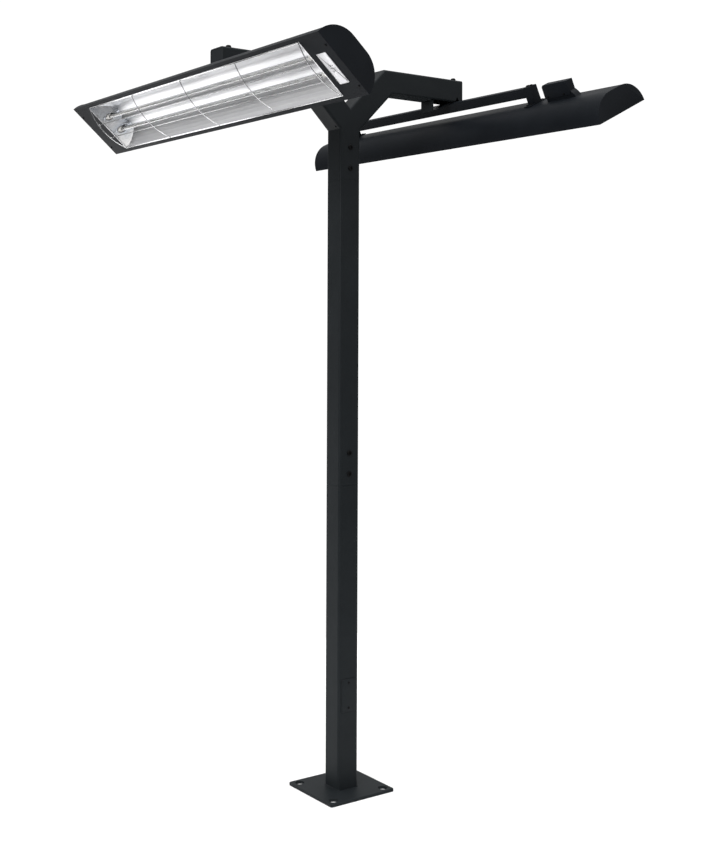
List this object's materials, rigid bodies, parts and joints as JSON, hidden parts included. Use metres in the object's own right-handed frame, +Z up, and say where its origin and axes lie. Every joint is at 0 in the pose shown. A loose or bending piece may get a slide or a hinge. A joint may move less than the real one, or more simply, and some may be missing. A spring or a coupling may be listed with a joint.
{
  "type": "twin electric infrared patio heater",
  "caption": "Floor-mounted square post with a Y head carrying long tilting infrared heaters, each with a wire guard over polished reflectors and quartz elements.",
  "frame": {"origin": "centre of the base plate's underside, which is also the centre of the square anchor pattern", "axes": "+Z up along the post, +X along the right arm, +Y along the heaters"},
  "size_m": [1.2408, 1.556, 2.433],
  "materials": {
    "post_black": "black powder coat, low gloss",
    "heater_black": "black powder coat on sheet steel, low gloss",
    "bolt_black": "black oxide fasteners",
    "galvanised": "bright zinc plate",
    "seal_rubber": "soft foam rubber",
    "cable_rubber": "rubber-sheathed cable",
    "terminal_plastic": "terminal blocks and insulated leads",
    "ceramic": "unglazed ceramic",
    "badge_metal": "brushed plain plate",
    "reflector_aluminium": "bright polished sheet",
    "guard_steel": "polished stainless wire",
    "coil_wire": "resistance wire",
    "quartz": "clear fused quartz"
  },
  "bodies": {
    "stand": {"base_plate": "post_black", "lower_post": "post_black", "upper_post": "post_black", "lower_spigot": "galvanised", "upper_spigot": "galvanised", "post_bolts": "bolt_black", "access_cover": "post_black", "access_gasket": "seal_rubber", "access_screws": "bolt_black", "post_terminal_block": "terminal_plastic", "head_sleeve": "post_black", "right_strut": "post_black", "left_strut": "post_black", "right_arm": "post_black", "left_arm": "post_black", "arm_end_plates": "post_black", "arm_hangers": "post_black", "hanger_bolts": "bolt_black", "pivot_pins": "galvanised", "supply_cables": "cable_rubber"},
    "left_heater": {"left_housing": "heater_black", "left_end_caps": "heater_black", "left_face_panels": "heater_black", "left_badge": "badge_metal", "left_reflector": "reflector_aluminium", "left_end_reflectors": "reflector_aluminium", "left_quartz_tubes": "quartz", "left_heating_coils": "coil_wire", "left_ceramic_caps": "ceramic", "left_element_brackets": "galvanised", "left_element_wiring": "terminal_plastic", "left_wire_guard": "guard_steel", "left_box_base": "heater_black", "left_box_cover": "heater_black", "left_trim_screws": "bolt_black", "left_foot_screws": "bolt_black", "left_yoke_rail": "heater_black", "left_yoke_legs": "heater_black", "left_yoke_bolts": "bolt_black", "left_saddle": "heater_black"},
    "right_heater": {"right_housing": "heater_black", "right_end_caps": "heater_black", "right_face_panels": "heater_black", "right_badge": "badge_metal", "right_reflector": "reflector_aluminium", "right_end_reflectors": "reflector_aluminium", "right_quartz_tubes": "quartz", "right_heating_coils": "coil_wire", "right_ceramic_caps": "ceramic", "right_element_brackets": "galvanised", "right_element_wiring": "terminal_plastic", "right_wire_guard": "guard_steel", "right_box_base": "heater_black", "right_box_cover": "heater_black", "right_trim_screws": "bolt_black", "right_foot_screws": "bolt_black", "right_yoke_rail": "heater_black", "right_yoke_legs": "heater_black", "right_yoke_bolts": "bolt_black", "right_saddle": "heater_black"}
  },
  "joints": [
    {"name": "left_tilt", "type": "hinge", "parent": "stand", "child": "left_heater", "pos_m": [-0.442, 0, 2.364], "axis": [0, 1, 0], "range_deg": [-41.4, 3.6]},
    {"name": "right_tilt", "type": "hinge", "parent": "stand", "child": "right_heater", "pos_m": [0.442, 0, 2.364], "axis": [0, -1, 0], "range_deg": [-26.1, 18.9]}
  ]
}
